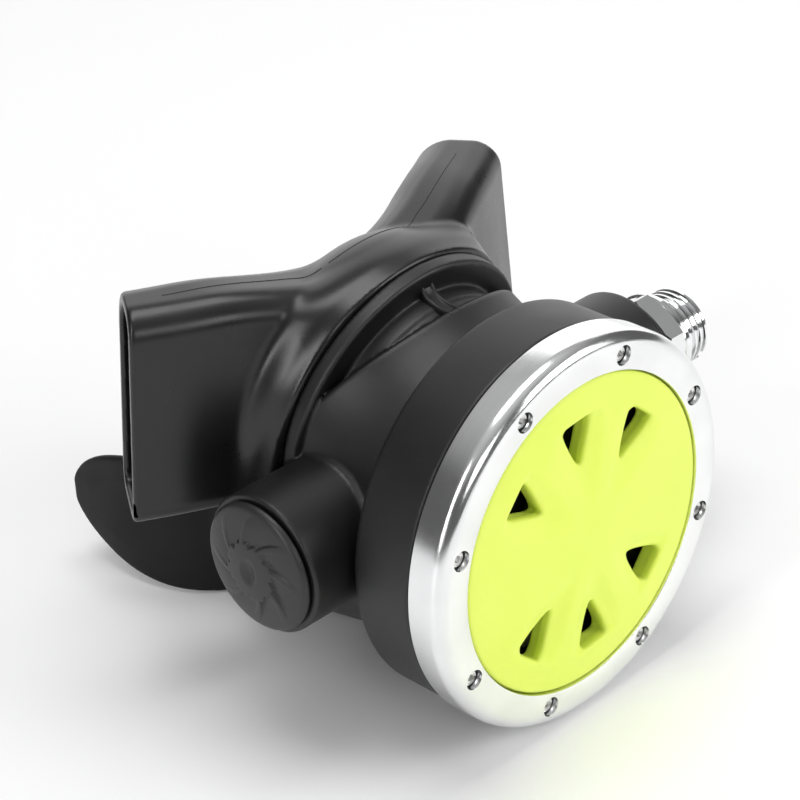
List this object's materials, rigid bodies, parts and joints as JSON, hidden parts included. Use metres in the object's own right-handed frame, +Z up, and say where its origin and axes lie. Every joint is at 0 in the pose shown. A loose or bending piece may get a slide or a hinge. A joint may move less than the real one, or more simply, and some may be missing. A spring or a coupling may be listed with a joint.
{
  "type": "scuba regulator second stage",
  "caption": "Second-stage scuba breathing regulator: round purge cover in a screwed ring, cross barrel with threaded inlet and adjusting knob, exhaust tee and silicone mouthpiece.",
  "frame": {"origin": "on the surface that the part rests on, under the middle of its bounding box", "axes": "+X along the valve barrel towards the threaded inlet, +Y from the purge cover towards the mouthpiece, +Z up towards the exhaust tee"},
  "size_m": [0.1102, 0.1042, 0.0735],
  "materials": {
    "shell_black": "fine matte grain",
    "tee_black": "semi-gloss",
    "ring_chrome": "polished",
    "cover_yellow": "satin",
    "inner_plastic": "moulded",
    "knob_plastic": "moulded",
    "spring_steel": "drawn wire",
    "lever_steel": "pressed sheet",
    "screw_steel": "satin",
    "fitting_chrome": "polished",
    "brass_inner": "machined",
    "diaphragm_silicone": "matte silicone",
    "seal_rubber": "matte",
    "mouth_silicone": "matte silicone",
    "tie_plastic": "nylon"
  },
  "bodies": {
    "body": {"case": "shell_black", "exhaust_tee": "tee_black", "tee_clip": "shell_black", "retaining_ring": "ring_chrome", "guard_plate": "inner_plastic", "purge_spring": "spring_steel", "diaphragm": "diaphragm_silicone", "valve_tube": "fitting_chrome", "lever_pin": "spring_steel", "inlet_fitting": "fitting_chrome", "inlet_oring": "seal_rubber", "lock_nut": "knob_plastic", "poppet_spring": "spring_steel", "knob_pin": "spring_steel", "exhaust_seat": "inner_plastic", "mouthpiece": "mouth_silicone", "cable_tie": "tie_plastic", "tube_oring_1": "seal_rubber", "tube_oring_2": "seal_rubber", "ring_screw_1": "screw_steel", "ring_screw_2": "screw_steel", "ring_screw_3": "screw_steel", "ring_screw_4": "screw_steel", "ring_screw_5": "screw_steel", "ring_screw_6": "screw_steel", "ring_screw_7": "screw_steel", "ring_screw_8": "screw_steel"},
    "purge_button": {"purge_cover": "cover_yellow"},
    "diaphragm_plate": {"diaphragm_disc": "inner_plastic"},
    "lever": {"demand_lever": "lever_steel"},
    "poppet_valve": {"poppet": "inner_plastic", "poppet_seat": "seal_rubber"},
    "knob": {"adjusting_knob": "knob_plastic", "knob_oring": "seal_rubber"},
    "carrier": {"spring_carrier": "brass_inner"},
    "exhaust_mushroom": {"exhaust_valve": "diaphragm_silicone"}
  },
  "joints": [
    {"name": "purge_press", "type": "slide", "parent": "body", "child": "purge_button", "axis": [0, 1, 0], "range_m": [0, 0.003], "stiffness_N_per_m": 900, "springref_m": -0.0015, "deforming": ["purge_spring", "diaphragm"]},
    {"name": "diaphragm_travel", "type": "slide", "parent": "body", "child": "diaphragm_plate", "axis": [0, 1, 0], "range_m": [0, 0.003]},
    {"name": "lever_swing", "type": "hinge", "parent": "body", "child": "lever", "pos_m": [-0.02507, -0.02825, 0.0351], "axis": [0, 0, 1], "range_deg": [0, 9.1]},
    {"name": "poppet_slide", "type": "slide", "parent": "body", "child": "poppet_valve", "axis": [-1, 0, 0], "range_m": [0, 0.001], "deforming": ["poppet_spring"]},
    {"name": "knob_turn", "type": "hinge", "parent": "body", "child": "knob", "pos_m": [-0.05017, -0.01775, 0.0351], "axis": [1, 0, 0], "range_deg": [0, 720]},
    {"name": "carrier_slide", "type": "slide", "parent": "body", "child": "carrier", "axis": [1, 0, 0], "range_m": [0, 0.002]},
    {"name": "exhaust_lift", "type": "slide", "parent": "body", "child": "exhaust_mushroom", "axis": [0, 0.9703, 0.2419], "range_m": [0, 0.0014], "stiffness_N_per_m": 60, "springref_m": -0.0005}
  ],
  "couplings": [
    {"joint": "diaphragm_travel", "follows": "purge_press", "ratio": 1},
    {"joint": "lever_swing", "follows": "purge_press", "rad_per_m": 52.7},
    {"joint": "poppet_slide", "follows": "purge_press", "ratio": 0.333},
    {"joint": "carrier_slide", "follows": "knob_turn", "m_per_rad": 0.000159}
  ]
}
